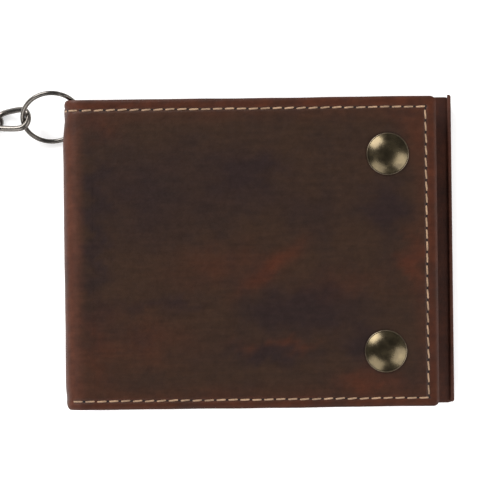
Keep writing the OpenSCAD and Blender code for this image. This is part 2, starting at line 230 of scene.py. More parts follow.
def outward(piece):
    """Merges doubles and turns every face outward."""
    edit(piece, (bpy.ops.mesh.remove_doubles, {"threshold": 1e-6}),
         (bpy.ops.mesh.normals_make_consistent, {"inside": False}))


def smooth(piece, degrees):
    """Shades smooth wherever faces meet at less than an angle."""
    pick(piece)
    bpy.ops.object.shade_smooth_by_angle(angle=math.radians(degrees))


def finish(piece, body, materials, nodes=()):
    """Gives a finished piece its materials and its body, and hides the nodes that it stands for."""
    if not piece.data.materials:
        for m in materials:
            piece.data.materials.append(m)
    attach(piece, body)
    if nodes:
        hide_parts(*nodes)


def joined(name, pieces):
    """One object of several."""
    pick(*pieces)
    if len(pieces) > 1:
        bpy.ops.object.join()
    return active(name)


def grid(name, xs, ys):
    """A flat grid with its lines at the given places."""
    deselect()
    bpy.ops.mesh.primitive_grid_add(x_subdivisions=len(xs) - 1, y_subdivisions=len(ys) - 1, size=2)
    piece = active(name)
    nx, ny = len(xs) - 1, len(ys) - 1
    shape(piece, lambda p: Vector((xs[round((p.x + 1) / 2 * nx)], ys[round((p.y + 1) / 2 * ny)], 0)))
    return piece


def steps(a, b, size):
    """Even steps from a to b, about a size long."""
    n = max(1, round(abs(b - a) / size))
    return [a + (b - a) * i / n for i in range(n + 1)]


# Distances from a sewn edge at which the leather's shape changes
SEAM_LINES = [0, 0.12, 0.35, 0.7, 1.1, 1.6, 2.1, 2.45, 2.7, 2.9, 3.1, 3.3, 3.5, 3.75, 4.1, 4.8, 5.8]


def sewn_lines(low, high, at_low=True):
    """Grid lines from low to high, close together along each sewn edge."""
    near = [d * MM for d in SEAM_LINES]
    lines = steps(low + near[-1] if at_low else low, high - near[-1], 1.7 * MM)
    if at_low:
        lines = [low + d for d in near[:-1]] + lines
    return lines + [high - d for d in reversed(near[:-1])]


def bell(d, width):
    """1 at no distance, falling away smoothly over a width."""
    return math.exp(-((d / width) ** 2))


def ease(t):
    """From 0 to 1 with a soft start and end."""
    t = min(1.0, max(0.0, t))
    return t * t * (3 - 2 * t)


def ripple(x, y, seed=0.0):
    """A slow unevenness of hand-worked leather, from -1 to 1."""
    x, y = x / MM, y / MM
    return (
        math.sin(x * 0.111 + y * 0.047 + seed)
        + math.sin(y * 0.137 - x * 0.059 + 2.1 * seed + 1.3)
        + 0.6 * math.sin(x * 0.31 + 1.7 * math.sin(y * 0.19 + seed))
        + 0.4 * math.sin(y * 0.53 + x * 0.37 + 3.0 * seed)
    ) / 3.0


def round_corner(x, y, corner_x, corner_y, r):
    """Draws the corner square of a grid in to a quarter circle."""
    cx = corner_x - math.copysign(r, corner_x)
    cy = corner_y - math.copysign(r, corner_y)
    a, b = (x - cx) / (corner_x - cx), (y - cy) / (corner_y - cy)
    if a <= 0 or b <= 0:
        return x, y
    k = max(a, b) / math.hypot(a, b)
    return cx + (x - cx) * k, cy + (y - cy) * k


def lathe(name, profile, turns):
    """A turned solid: the profile is a list of (radius, height) from the axis round to the axis."""
    deselect()
    bpy.ops.mesh.primitive_circle_add(vertices=len(profile), radius=1, fill_type="NOTHING")
    piece = active(name)
    for v, (r, z) in zip(piece.data.vertices, profile):
        v.co = Vector((r, 0, z))
    edit(piece, (bpy.ops.mesh.spin, {
        "steps": turns, "angle": 2 * math.pi, "center": (0, 0, 0), "axis": (0, 0, 1)}))
    outward(piece)
    edit(piece, (bpy.ops.mesh.dissolve_degenerate, {"threshold": 1e-7}))
    return piece


def arc(cx, cy, r, a0, a1, n):
    """Points of an arc, angles in degrees."""
    return [
        (cx + r * math.cos(math.radians(a0 + (a1 - a0) * i / n)),
         cy + r * math.sin(math.radians(a0 + (a1 - a0) * i / n)))
        for i in range(n + 1)
    ]


def moved(piece, matrix):
    """Puts a move into the mesh, so the object stays at the origin."""
    piece.data.transform(matrix)
    piece.data.update()


# ---------------------------------------------------------------- the spine's line


def spine_line():
    """The leather's middle line as short steps: a list of (length so far, x, z)."""
    points = [Vector((SPINE_CORNERS[0][0], SPINE_CORNERS[0][1]))]
    for before, here, after in zip(SPINE_CORNERS, SPINE_CORNERS[1:], SPINE_CORNERS[2:]):
        p = Vector(here[:2])
        u = (Vector(before[:2]) - p).normalized()
        w = (Vector(after[:2]) - p).normalized()
        half = math.acos(max(-1, min(1, u.dot(w)))) / 2
        r = here[2]
        centre = p + (u + w).normalized() * (r / math.sin(half))
        a0 = p + u * (r / math.tan(half)) - centre
        turn = math.pi - 2 * half
        side = -1 if u.x * w.y - u.y * w.x > 0 else 1
        for i in range(BEND_STEPS + 1):
            a = side * turn * i / BEND_STEPS
            points.append(centre + Vector((
                a0.x * math.cos(a) - a0.y * math.sin(a), a0.x * math.sin(a) + a0.y * math.cos(a))))
    points.append(Vector(SPINE_CORNERS[-1][:2]))
    line, length = [], 0.0
    for a, b in zip(points, points[1:]):
        step = (b - a).length
        if step > 1e-7:
            line.append((length, a.x, a.y))
            length += step
    line.append((length, points[-1].x, points[-1].y))
    return line


SPINE = spine_line()


def on_spine(s):
    """Place and outward normal of the spine's middle line at length s."""
    for (s0, x0, z0), (s1, x1, z1) in zip(SPINE, SPINE[1:]):
        if s <= s1 or s1 == SPINE[-1][0]:
            t = (s - s0) / (s1 - s0)
            run = Vector((x1 - x0, z1 - z0)).normalized()
            return Vector((x0 + (x1 - x0) * t, 0, z0 + (z1 - z0) * t)), Vector((-run.y, 0, run.x))


def length_at(point):
    """The length along the spine's line of its place nearest to a point."""
    p, best = Vector((point.x, point.z)), []
    for (s0, x0, z0), (s1, x1, z1) in zip(SPINE, SPINE[1:]):
        a, b = Vector((x0, z0)), Vector((x1, z1))
        t = min(1.0, max(0.0, (p - a).dot(b - a) / (b - a).length_squared))
        best.append(((a.lerp(b, t) - p).length, s0 + (s1 - s0) * t))
    return min(best)[1]


S_FOLD_1, S_FOLD_2, S_FOLD_3 = (length_at(p) for p in (FOLD_1, FOLD_2, FOLD_3))
ROOT_END = S_FOLD_1 - 1.3 * MM
S_KNEE = S_FOLD_1 + 1.54 * MM
S_TURN = S_FOLD_2 + 3.38 * MM


def bend_round(a, b, s, reach):
    """Two bodies, and the line along which leather passes from one to the other."""
    return a, b, on_spine(s - reach)[0], on_spine(s + reach)[0]


# The stretches of the spine: name, first and last length, how they bend, and their CAD nodes
SPINE_STRETCHES = (
    ("spine_knee", ROOT_END, S_KNEE,
     bend_round("back_half", "spine_lower_part", S_FOLD_1, 1.1 * MM), ()),
    ("spine_wall", S_KNEE, S_TURN,
     bend_round("spine_lower_part", "spine_upper_part", S_FOLD_2, 1.4 * MM), ("spine_middle",)),
    ("spine_shoulder", S_TURN, length_at(Vector((PLATE_X, 0, TOP_Z - SHELL_T / 2))),
     bend_round("spine_upper_part", "front_half", S_FOLD_3, 2.2 * MM), ("spine_upper",)),
)


# ---------------------------------------------------------------- materials


def node_material(name):
    """A new material: its shader, its Object coordinates, a way to add nodes, and its links."""
    material = bpy.data.materials.new(name)
    material.use_nodes = True
    nodes, links = material.node_tree.nodes, material.node_tree.links
    shader = nodes["Principled BSDF"]
    place = nodes.new("ShaderNodeTexCoord")

    def add(kind, values=(), **sources):
        node = nodes.new("ShaderNode" + kind)
        for key, value in dict(values).items():
            if hasattr(node, key):
                setattr(node, key, value)
            else:
                node.inputs[key.replace("_", " ")].default_value = value
        for key, source in sources.items():
            links.new(source, node.inputs[key.replace("_", " ")])
        return node

    return material, shader, place.outputs["Object"], add, links


def ramp(add, source, stops):
    """A grey ramp of (place, value) stops over a source."""
    node = add("ValToRGB", {}, Fac=source)
    elements = node.color_ramp.elements
    while len(elements) < len(stops):
        elements.new(0.5)
    for element, (place, value) in zip(elements, stops):
        element.position = place
        element.color = (value, value, value, 1)
    return node.outputs["Color"]


def mix(add, blend, factor, a, b):
    """Mixes two colours; each of factor, a and b is a socket or a value."""
    node = add("Mix", {"data_type": "RGBA", "blend_type": blend})
    links = node.id_data.links
    for socket, value in ((node.inputs[0], factor), (node.inputs[6], a), (node.inputs[7], b)):
        if isinstance(value, bpy.types.NodeSocket):
            links.new(value, socket)
        elif isinstance(value, (int, float)):
            socket.default_value = value
        else:
            socket.default_value = (*value, 1)
    return node.outputs[2]


def bumped(add, links, shader, layers):
    """Stacks bump layers of (height socket, strength, distance)."""
    normal = None
    for height, strength, distance in layers:
        bump = add("Bump", {"Strength": strength, "Distance": distance}, Height=height)
        if normal:
            links.new(normal, bump.inputs["Normal"])
        normal = bump.outputs["Normal"]
    links.new(normal, shader.inputs["Normal"])


def leather(name, base, dark, light, painted=False, roughness=0.46):
    """Waxed pull-up leather: fine grain, mottled colour, rubbed along the hide."""
    material, shader, place, add, links = node_material(name)
    clouds = add("TexNoise", {"Scale": 70.0, "Detail": 5.0, "Roughness": 0.62}, Vector=place)
    specks = add("TexNoise", {"Scale": 520.0, "Detail": 4.0, "Roughness": 0.7}, Vector=place)
    fine = add("TexNoise", {"Scale": 2600.0, "Detail": 3.0}, Vector=place)
    pores = add("TexVoronoi", {"Scale": 1500.0}, Vector=place)
    drawn = add("Mapping", {"Scale": (0.22, 1.5, 1.0)}, Vector=place)
    rubs = add("TexNoise", {"Scale": 420.0, "Detail": 4.0, "Roughness": 0.6}, Vector=drawn.outputs[0])
    if painted:
        ground = add("VertexColor", {"layer_name": "tone"}).outputs["Color"]
    else:
        ground = mix(add, "MIX", ramp(add, clouds.outputs["Fac"], [(0.35, 0), (0.68, 1)]), base, light)
    patchy = mix(add, "MIX", ramp(add, clouds.outputs["Fac"], [(0.30, 0.45), (0.52, 0)]), ground, dark)
    streaks = ramp(add, rubs.outputs["Fac"], [(0.30, 0.33), (0.70, 0.66)])
    grain = ramp(add, specks.outputs["Fac"], [(0.32, 0.34), (0.7, 0.64)])
    grainy = mix(add, "OVERLAY", 0.45, mix(add, "OVERLAY", 0.40, patchy, streaks), grain)
    links.new(grainy, shader.inputs["Base Color"])
    gloss = add("MapRange", {"To_Min": roughness - 0.07, "To_Max": roughness + 0.13},
                Value=specks.outputs["Fac"])
    links.new(gloss.outputs[0], shader.inputs["Roughness"])
    shader.inputs["Specular IOR Level"].default_value = 0.24
    bumped(add, links, shader, [
        (clouds.outputs["Fac"], 0.35, 0.6 * MM), (specks.outputs["Fac"], 0.32, 0.16 * MM),
        (pores.outputs["Distance"], 0.30, 0.10 * MM), (fine.outputs["Fac"], 0.22, 0.05 * MM)])
    return material


def cut_edge(name, colour, dark):
    """The burnished edge: fibres pressed flat, waxed smooth, its light colour partly a painted highlight;
    also the stitch holes' painted shade.
    """
    material, shader, place, add, links = node_material(name)
    fibres = add("TexNoise", {"Scale": 900.0, "Detail": 5.0}, Vector=place)
    bands = add("TexNoise", {"Scale": 160.0, "Detail": 2.0}, Vector=place)
    colours = mix(add, "MIX", ramp(add, bands.outputs["Fac"], [(0.35, 0), (0.7, 1)]), dark, colour)
    links.new(mix(add, "MULTIPLY", 0.5, colours, ramp(add, fibres.outputs["Fac"], [(0.3, 0.55), (0.6, 1)])),
              shader.inputs["Base Color"])
    shader.inputs["Roughness"].default_value = 0.4
    bumped(add, links, shader, [(fibres.outputs["Fac"], 0.4, 0.12 * MM)])
    return material


def waxed_thread(name, colour):
    """Twisted plies, soiled here and there."""
    material, shader, place, add, links = node_material(name)
    plies = add("TexWave", {"Scale": 420.0, "Distortion": 1.5, "bands_direction": "DIAGONAL"}, Vector=place)
    dirt = add("TexNoise", {"Scale": 300.0, "Detail": 3.0}, Vector=place)
    dark = [c * 0.45 for c in colour]
    shade = mix(add, "MIX", ramp(add, dirt.outputs["Fac"], [(0.35, 0.7), (0.62, 0)]), colour, dark)
    links.new(mix(add, "MULTIPLY", 0.35, shade, ramp(add, plies.outputs["Fac"], [(0.1, 0.5), (0.6, 1)])),
              shader.inputs["Base Color"])
    shader.inputs["Roughness"].default_value = 0.62
    shader.inputs["Sheen Weight"].default_value = 0.2
    bumped(add, links, shader, [(plies.outputs["Fac"], 0.6, 0.12 * MM)])
    return material


def metal(name, colour, dark, roughness, patina=0.6, scale=240.0):
    """Plated metal with patina in its hollows and fine scratches."""
    material, shader, place, add, links = node_material(name)
    stain = add("TexNoise", {"Scale": scale, "Detail": 4.0}, Vector=place)
    scratches = add("TexNoise", {"Scale": 1900.0, "Detail": 2.0, "Distortion": 2.5}, Vector=place)
    tone = mix(add, "MIX", ramp(add, stain.outputs["Fac"], [(0.36, patina), (0.62, 0)]), colour, dark)
    links.new(tone, shader.inputs["Base Color"])
    shader.inputs["Metallic"].default_value = 1.0
    rough = add("MapRange", {"To_Min": roughness - 0.06, "To_Max": roughness + 0.14},
                Value=stain.outputs["Fac"])
    links.new(rough.outputs[0], shader.inputs["Roughness"])
    bumped(add, links, shader, [(scratches.outputs["Fac"], 0.12, 0.04 * MM)])
    return material


def clear_film(name):
    """Clear plastic with a slight haze."""
    material, shader, place, add, links = node_material(name)
    haze = add("TexNoise", {"Scale": 120.0, "Detail": 3.0}, Vector=place)
    shader.inputs["Base Color"].default_value = (0.86, 0.88, 0.88, 1)
    shader.inputs["Alpha"].default_value = 0.28
    rough = add("MapRange", {"To_Min": 0.08, "To_Max": 0.22}, Value=haze.outputs["Fac"])
    links.new(rough.outputs[0], shader.inputs["Roughness"])
    bumped(add, links, shader, [(haze.outputs["Fac"], 0.2, 0.4 * MM)])
    return material


# Tones that go with the wallet's colours, the darker or lighter side of each finish
WAX = (0.017, 0.0085, 0.0075)
LINING, LINING_DARK = (0.042, 0.0110, 0.0050), (0.018, 0.0055, 0.0034)
LINING_LIGHT = (0.084, 0.0225, 0.0090)
BINDING, BINDING_DARK = (0.086, 0.029, 0.017), (0.04, 0.014, 0.009)
EDGE_DARK = (0.09, 0.045, 0.035)
# Near-black painted shade for the stitch holes, where the thread goes down into the leather
HOLE_SHADE, HOLE_SHADE_DARK = (0.012, 0.007, 0.006), (0.006, 0.004, 0.004)
BRASS_DARK = (0.045, 0.036, 0.025)
RIM, RIM_DARK = (0.24, 0.19, 0.13), (0.08, 0.06, 0.045)
STEEL, STEEL_DARK = (0.5, 0.48, 0.45), (0.2, 0.18, 0.16)
GUNMETAL_DARK = (0.10, 0.095, 0.09)
MATERIALS = {}


def look(name):
    """The wallet's materials, each made once."""
    c = bpy.context.scene.wallet_colours
    makers = {
        "shell": lambda: leather("shell_leather", c.chocolate, WAX, c.pull_up_and_highlight, painted=True),
        "lining": lambda: leather("lining_leather", LINING, LINING_DARK, LINING_LIGHT, roughness=0.60),
        "slots": lambda: leather("slot_leather", c.brown, c.chocolate, c.red_brown, roughness=0.5),
        "binding": lambda: leather("binding_leather", BINDING, BINDING_DARK, c.pull_up_and_highlight, roughness=0.5),
        # Cut edges: a light colour, partly a painted highlight
        "edge": lambda: cut_edge("burnished_edge_highlight", c.edge, EDGE_DARK),
        # The stitch holes are a painted shade: a near-black patch at each hole
        "hole": lambda: cut_edge("stitch_hole_shade", HOLE_SHADE, HOLE_SHADE_DARK),
        "thread": lambda: waxed_thread("waxed_thread", tuple(c.thread)),
        "brass": lambda: metal("antique_brass", tuple(c.brass), BRASS_DARK, 0.22, 0.6, 330.0),
        "brass_rim": lambda: metal("rubbed_rim", RIM, RIM_DARK, 0.32, 0.5),
        "steel": lambda: metal("snap_steel", STEEL, STEEL_DARK, 0.3, 0.5),
        "gunmetal": lambda: metal("gunmetal", tuple(c.gunmetal), GUNMETAL_DARK, 0.22, 0.7, 180.0),
        "film": lambda: clear_film("window_film"),
    }
    if name not in MATERIALS:
        MATERIALS[name] = makers[name]()
    return MATERIALS[name]


# ---------------------------------------------------------------- leather pieces


def blend3(a, b, t):
    """A colour between two others."""
    return [a[i] + (b[i] - a[i]) * t for i in range(3)]


# Where handling has darkened the cover, and where it has rubbed it redder: X, Y and two radii in mm,
# then the strength
DARKENED = (
    (-31, 18, 17, 13, 0.9), (-4, 24, 9, 7, 1.3), (38, 12, 7, 7, 1.1),
    (13, -17, 16, 7, 1.4), (1, -30, 12, 2.6, 1.4), (-48, 7, 3, 26, 1.0),
    (-29, -15, 12, 1.6, 0.9), (31, -28, 5, 7, 0.9), (10, 14, 16, 5, 0.5),
)
RUBBED = (
    (-34, -26, 12, 8, 0.32), (-11, -4, 15, 6, 0.30), (46, -3, 3.5, 7, 0.75),
    (33, -38, 9, 3.5, 0.6), (47, 36, 5, 9, 0.45), (-49, -30, 5, 14, 0.35),
    (5, -27, 10, 1.2, 0.5), (-47, 38, 7, 3, 0.4), (26, -9, 12, 4, 0.2),
)
# A long rub across the cover: its middle in mm, and its direction
STREAK_X, STREAK_Y = 3, -4.6
STREAK_RUN = (0.79, 0.61)


def marks(spots, x, y):
    """How strongly a list of spots marks a place, their edges made uneven."""
    x += 2.4 * math.sin(y * 0.61 + 0.23 * x) + 0.9 * math.sin(y * 1.7 + x)
    y += 1.3 * math.sin(x * 0.43 - 0.31 * y) + 0.5 * math.sin(x * 1.3)
    return sum(k * math.exp(-(((x - cx) / rx) ** 2) - ((y - cy) / ry) ** 2) for cx, cy, rx, ry, k in spots)


def tone_at(x, y, back=False):
    """The colour of the shell leather at a place on the cover: colour rubbed into it, and a painted
    highlight along the spine's fold.
    """
    c = bpy.context.scene.wallet_colours
    sizes = bpy.context.scene.wallet_sizes
    free_x = BACK_X if back else COVER_X
    inward = min(free_x - x, HALF_H - y, HALF_H + y)
    border = (1 - ease((inward - sizes.stitch_edge + 0.6 * MM) / (1.8 * MM))) * (
        0.82 + 0.3 * ripple(x * 5.3, y * 5.3, 2.2))
    # Towards the spine the leather is painted lighter and redder: partly pull-up lightening at the bend,
    # partly a painted highlight where the fold turns to the light
    spine = 1 - ease((x - SPINE_X - 1.6 * MM) / (6.2 * MM))
    halo = 0.34 * (1 - ease((inward - 3 * MM) / (6 * MM))) * (0.7 + 0.3 * ripple(x * 1.7, y * 1.7, 0.7))
    px, py = x / MM, (-y if back else y) / MM
    sx, sy, (ux, uy) = px - STREAK_X, py - STREAK_Y, STREAK_RUN
    across, lengthwise = sx * uy - sy * ux, sx * ux + sy * uy
    streak = 0.75 * bell(across + 0.6 * math.sin(lengthwise * 0.5), 2.1) * bell(lengthwise - 1, 10)
    dark = marks(DARKENED, px, py) * (0.5 if back else 1) + 0.22 * ripple(x * 2.3, y * 2.3, 3.1)
    warm = max(border * 0.9, halo + marks(RUBBED, px, py) + (0 if back else streak))
    warm *= 1.35 + 0.4 * ripple(x * 4.1, y * 3.3, 1.9)
    ground = blend3(c.brown, c.chocolate, min(1.0, max(0.0, dark)))
    colour = blend3(ground, c.red_brown, min(1.0, max(0.0, warm)))
    colour = blend3(colour, c.pull_up_and_highlight, spine * (0.84 + 0.16 * ripple(x * 2, y * 2.9, 0.4)))
    # Brightness unevenness on the border and spine, and the border made darker towards the bottom
    brightness = 1 + 0.24 * max(border, 0.7 * spine) * ripple(x * 8.3, y * 7.1, 4.4)
    brightness *= 1 - 0.13 * border * (0.5 - 0.5 * y / HALF_H)
    return [channel * brightness for channel in colour]


def paint(piece, tone):
    """Keeps a colour at each vertex, from its place."""
    layer = piece.data.color_attributes.new("tone", "FLOAT_COLOR", "POINT")
    for v, entry in zip(piece.data.vertices, layer.data):
        entry.color = (*tone(v.co), 1)


def plate_height(x, y, x1, row_from):
    """How far the outer face of a sewn half stands from its level, at a place."""
    sizes = bpy.context.scene.wallet_sizes
    inward = min(x1 - x, HALF_H - y, HALF_H + y)
    height = -0.42 * MM * max(0.0, 1 - inward / (0.95 * MM)) ** 2
    in_row = ease((x - row_from) / (1.5 * MM))
    to_side = x1 - x - sizes.stitch_edge
    to_top = HALF_H - y - sizes.stitch_edge
    to_bottom = HALF_H + y - sizes.low_edge
    groove = 0.0
    if to_top > -0.4 * MM and to_bottom > -0.4 * MM:
        groove = bell(to_side, 0.42 * MM)
    if to_side > -0.4 * MM:
        groove = max(groove, in_row * bell(to_top, 0.42 * MM), in_row * bell(to_bottom, 0.42 * MM))
    height -= sizes.groove_depth * groove
    inside = ease((inward - 3.4 * MM) / (3 * MM))
    height -= 0.05 * MM * (1 + ripple(x, y, 1.0)) * inside
    return height


def sewn_plate(name, x0, x1, turned):
    """One half of the shell: grooved along its seams, eased at its edges, closed all round."""
    sizes = bpy.context.scene.wallet_sizes
    piece = grid(name, sewn_lines(x0, x1, at_low=False), sewn_lines(-HALF_H, HALF_H))

    def place(p):
        z = plate_height(p.x, p.y, x1, x0 - 2 * MM)
        fade = 1 - ease((p.x - x0) / (2.5 * MM))
        x, y = p.x, p.y
        for sign in (-1, 1):
            x, y = round_corner(x, y, x1, sign * HALF_H, sizes.corner_radius)
        y += 0.10 * MM * ripple(x, 0.02, 3.0) * ease((abs(y) - HALF_H + 3 * MM) / (3 * MM)) * (1 - fade)
        return Vector((x, y, z * (1 - 0.3 * fade)))

    shape(piece, place)
    paint(piece, lambda p: tone_at(p.x, p.y, turned))
    apply_modifier(piece, "SOLIDIFY", thickness=SHELL_T, offset=-1.0, use_rim=True, material_offset_rim=1)
    if turned:
        moved(piece, Matrix.Scale(-1, 4, (0, 0, 1)))
    else:
        moved(piece, Matrix.Translation((0, 0, TOP_Z)))
    outward(piece)
    smooth(piece, 40)
    return piece


def spine_reach(s):
    """How far up and down the leather reaches at length s: its corners are rounded where it folds."""
    at, out = on_spine(s)
    r, most = 1.7 * MM, 1.3 * MM
    d = min(r, max(0.0, at.x + out.x * SHELL_T / 2 - SPINE_X))
    return HALF_H - min(most, r - math.sqrt(r * r - (r - d) ** 2))


def spine_pinch(s, y):
    """How far the spine's outer face is drawn in: along the seam, and where the seam pulls at the fold."""
    sizes = bpy.context.scene.wallet_sizes
    row_y = HALF_H - sizes.stitch_edge
    bent = bell(s - S_FOLD_2 - 1.0 * MM, 4 * MM)
    pull = bell(y - row_y, 2.2 * MM) if y > row_y else bell(y - row_y, 5.5 * MM)
    low = 0.35 * bell(y + row_y, 2.5 * MM)
    uneven = 0.09 * MM * (1 + ripple(0.3 * s, y, 1.5))
    return (0.8 * MM * (pull + low) + uneven) * bent


def spine_strip(name, s0, s1, hole=False):
    """A stretch of shell leather bent along the spine's line."""
    sizes = bpy.context.scene.wallet_sizes
    cuts = sorted({round(v, 7) for v in steps(s0, s1, 0.36 * MM)} | {s0 + 0.05 * MM, s1 - 0.05 * MM})
    ys = sewn_lines(-HALF_H, HALF_H)
    piece = grid(name, cuts, ys)
    row_y = HALF_H - sizes.stitch_edge

    def place(p):
        s = p.x
        at, out = on_spine(s)
        y = p.y * spine_reach(s) / HALF_H
        inward = HALF_H - abs(p.y)
        level = SHELL_T / 2 - 0.34 * MM * max(0.0, 1 - inward / (0.95 * MM)) ** 2
        wrapped = ease((s - S_FOLD_2 - 1 * MM) / (2 * MM))
        level -= sizes.groove_depth * bell(y - row_y, 0.45 * MM) * wrapped
        on_front = ease((s - S_FOLD_3 + 2.6 * MM) / (1.2 * MM))
        on_back = ease((S_FOLD_1 - 7.6 * MM - s) / (1.5 * MM))
        low_row = bell(y + HALF_H - sizes.low_edge, 0.45 * MM)
        level -= sizes.groove_depth * low_row * min(1.0, on_front + on_back)
        level -= spine_pinch(s, y)
        return Vector((at.x, y, at.z)) + out * level

    shape(piece, place)
    paint(piece, lambda p: tone_at(p.x, p.y, p.z < TOP_Z / 2))
    apply_modifier(piece, "SOLIDIFY", thickness=SHELL_T, offset=-1.0, use_rim=True, material_offset_rim=1)
    outward(piece)
    if hole:
        low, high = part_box("eyelet")
        deselect()
        bpy.ops.mesh.primitive_cylinder_add(vertices=48, radius=3.1 * MM, depth=8 * MM)
        drill = active("drill")
        moved(drill, Matrix.Translation((low + high) / 2) @ Matrix.Rotation(math.radians(45), 4, "Y"))
        cut(piece, drill)
    smooth(piece, 40)
    return piece


def flat_piece(name, outline, z0, z1, edge=0.2 * MM):
    """A flat leather piece cut to an outline, its edges rubbed round."""
    deselect()
    bpy.ops.mesh.primitive_circle_add(vertices=len(outline), radius=1, fill_type="NGON")
    piece = active(name)
    for v, (x, y) in zip(piece.data.vertices, outline):
        v.co = Vector((x, y, z0))
    edit(piece, (bpy.ops.mesh.extrude_region_move, {"TRANSFORM_OT_translate": {"value": (0, 0, z1 - z0)}}))
    outward(piece)
    apply_modifier(piece, "BEVEL", width=edge, segments=3, limit_method="ANGLE")
    smooth(piece, 40)
    return piece


def free_outline(x0, x1, y0, y1, r):
    """A rectangle with its two corners at the free edge rounded."""
    return [(x0, y0), *arc(x1 - r, y0 + r, r, -90, 0, 8), *arc(x1 - r, y1 - r, r, 0, 90, 8), (x0, y1)]


def box_piece(node, corner=0.0, edge=0.2 * MM):
    """A flat piece that fills the box of its CAD node."""
    (x0, y0, z0), (x1, y1, z1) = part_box(node)
    square = [(x0, y0), (x1, y0), (x1, y1), (x0, y1)]
    outline = free_outline(x0, x1, y0, y1, corner) if corner else square
    return flat_piece(node + "_leather", outline, z0, z1, edge)


def hem_piece(node):
    """The turned hem: a strip along the bottom and one along the free edge."""
    (x0, y0, z0), (x1, y1, z1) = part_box(node)
    r, w = bpy.context.scene.wallet_sizes.corner_radius, 6 * MM
    outline = [(x0, y0), *arc(x1 - r, y0 + r, r, -90, 0, 8), (x1, y1), (x1 - w, y1),
               (x1 - w, y0 + w), (x0, y0 + w)]
    return flat_piece(node + "_leather", outline, z0, z1)


# ---------------------------------------------------------------- stitches


def bead(name, length, width, height, blunt=0.45, arch=0.0):
    """A long rounded bead along X: a stitch, or the painted shade of a stitch hole."""
    deselect()
    bpy.ops.mesh.primitive_uv_sphere_add(segments=10, ring_count=10, radius=1)
    piece = active(name)

    def place(p):
        side = math.hypot(p.x, p.y)
        k = side ** blunt / side if side > 1e-6 else 0
        x = p.z * length / 2
        return Vector((x, p.x * k * width / 2, p.y * k * height / 2 + arch * (1 - (2 * x / length) ** 2)))

    shape(piece, place)
    outward(piece)
    smooth(piece, 80)
    return piece


def copies(name, template, places):
    """One mesh with a copy of the template at each place, a matrix each."""
    pieces = []
    for matrix in places:
        one = bpy.data.objects.new(name, template.data.copy())
        bpy.context.collection.objects.link(one)
        moved(one, matrix)
        pieces.append(one)
    bpy.data.objects.remove(template)
    return joined(name, pieces)


def along(at, direction, up):
    """Where a bead goes: its X along the direction, its Z up."""
    x = direction.normalized()
    z = (up - x * up.dot(x)).normalized()
    y = z.cross(x)
    return Matrix(((x.x, y.x, z.x, at.x), (x.y, y.y, z.y, at.y), (x.z, y.z, z.z, at.z), (0, 0, 0, 1)))


def row(a, b, z, side):
    """Places of the stitches from a to b (X and Y), and of the painted shades of the holes after them, on a
    level.
    """
    sizes = bpy.context.scene.wallet_sizes
    a, b = Vector((*a, z)), Vector((*b, z))
    run = (b - a).normalized()
    up = Vector((0, 0, side))
    gap = sizes.stitch_pitch - sizes.stitch_length
    n = round(((b - a).length + gap) / sizes.stitch_pitch)
    pitch = ((b - a).length + gap) / n
    stitches, holes = [], []
    for i in range(n):
        lean = 0.075 + 0.04 * math.sin(12.9898 * i + a.x * 3100 + a.y * 1700)
        at = a + run * (i * pitch + sizes.stitch_length / 2)
        at += Vector((-run.y, run.x, 0)) * 0.06 * MM * math.sin(7.7 * i + a.x * 900)
        turned = Vector((run.x - run.y * lean, run.y + run.x * lean, 0))
        stitches.append(along(at, turned, up))
        holes.append(along(a + run * ((i + 1) * pitch - gap / 2), run, up))
    holes.append(along(a - run * gap / 2, run, up))
    return stitches, holes


def seam(name, rows, body, nodes=(), depth=0.0, bend=None):
    """A thread piece and the painted shade of its stitch holes, for rows of places; bend gives the two
    bodies and the line.
    """
    sizes = bpy.context.scene.wallet_sizes
    stitch = bead("stitch", sizes.stitch_length, sizes.thread_width, 0.5 * MM, 0.26, 0.18 * MM)
    # Each stitch hole gets a near-black bead: painted shade
    hole = bead("hole", 1.0 * MM, 0.74 * MM, 0.12 * MM)
    for part, template, index, material, slot in (
        ("thread", stitch, 0, "thread", "waxed_thread"), ("holes", hole, 1, "hole", "leather_shell"),
    ):
        places = [m @ Matrix.Translation((0, 0, 0.02 * MM - depth)) for r in rows for m in r[index]]
        piece = copies(name + "_" + part, template, places)
        piece.data.materials.append(look(material))
        if bend:
            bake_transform(piece)
        else:
            finish(piece, body, [])
    if nodes:
        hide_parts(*nodes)


def spine_row(s0, s1, y, depth):
    """Stitches that follow the spine's line, from length s0 to s1."""
    sizes = bpy.context.scene.wallet_sizes
    stitches, holes = [], []
    n = max(1, round((s1 - s0) / sizes.stitch_pitch))
    for i in range(n):
        s = s0 + (i + 0.5) * (s1 - s0) / n
        for where, places in ((s, stitches), (s + (s1 - s0) / n / 2, holes)):
            at, out = on_spine(where)
            ahead = on_spine(where + 0.1 * MM)[0] - on_spine(where - 0.1 * MM)[0]
            at = Vector((at.x, y, at.z)) + out * (SHELL_T / 2 - depth - spine_pinch(where, y))
            places.append(along(at, ahead, out))
    return stitches, holes


# ---------------------------------------------------------------- metal pieces


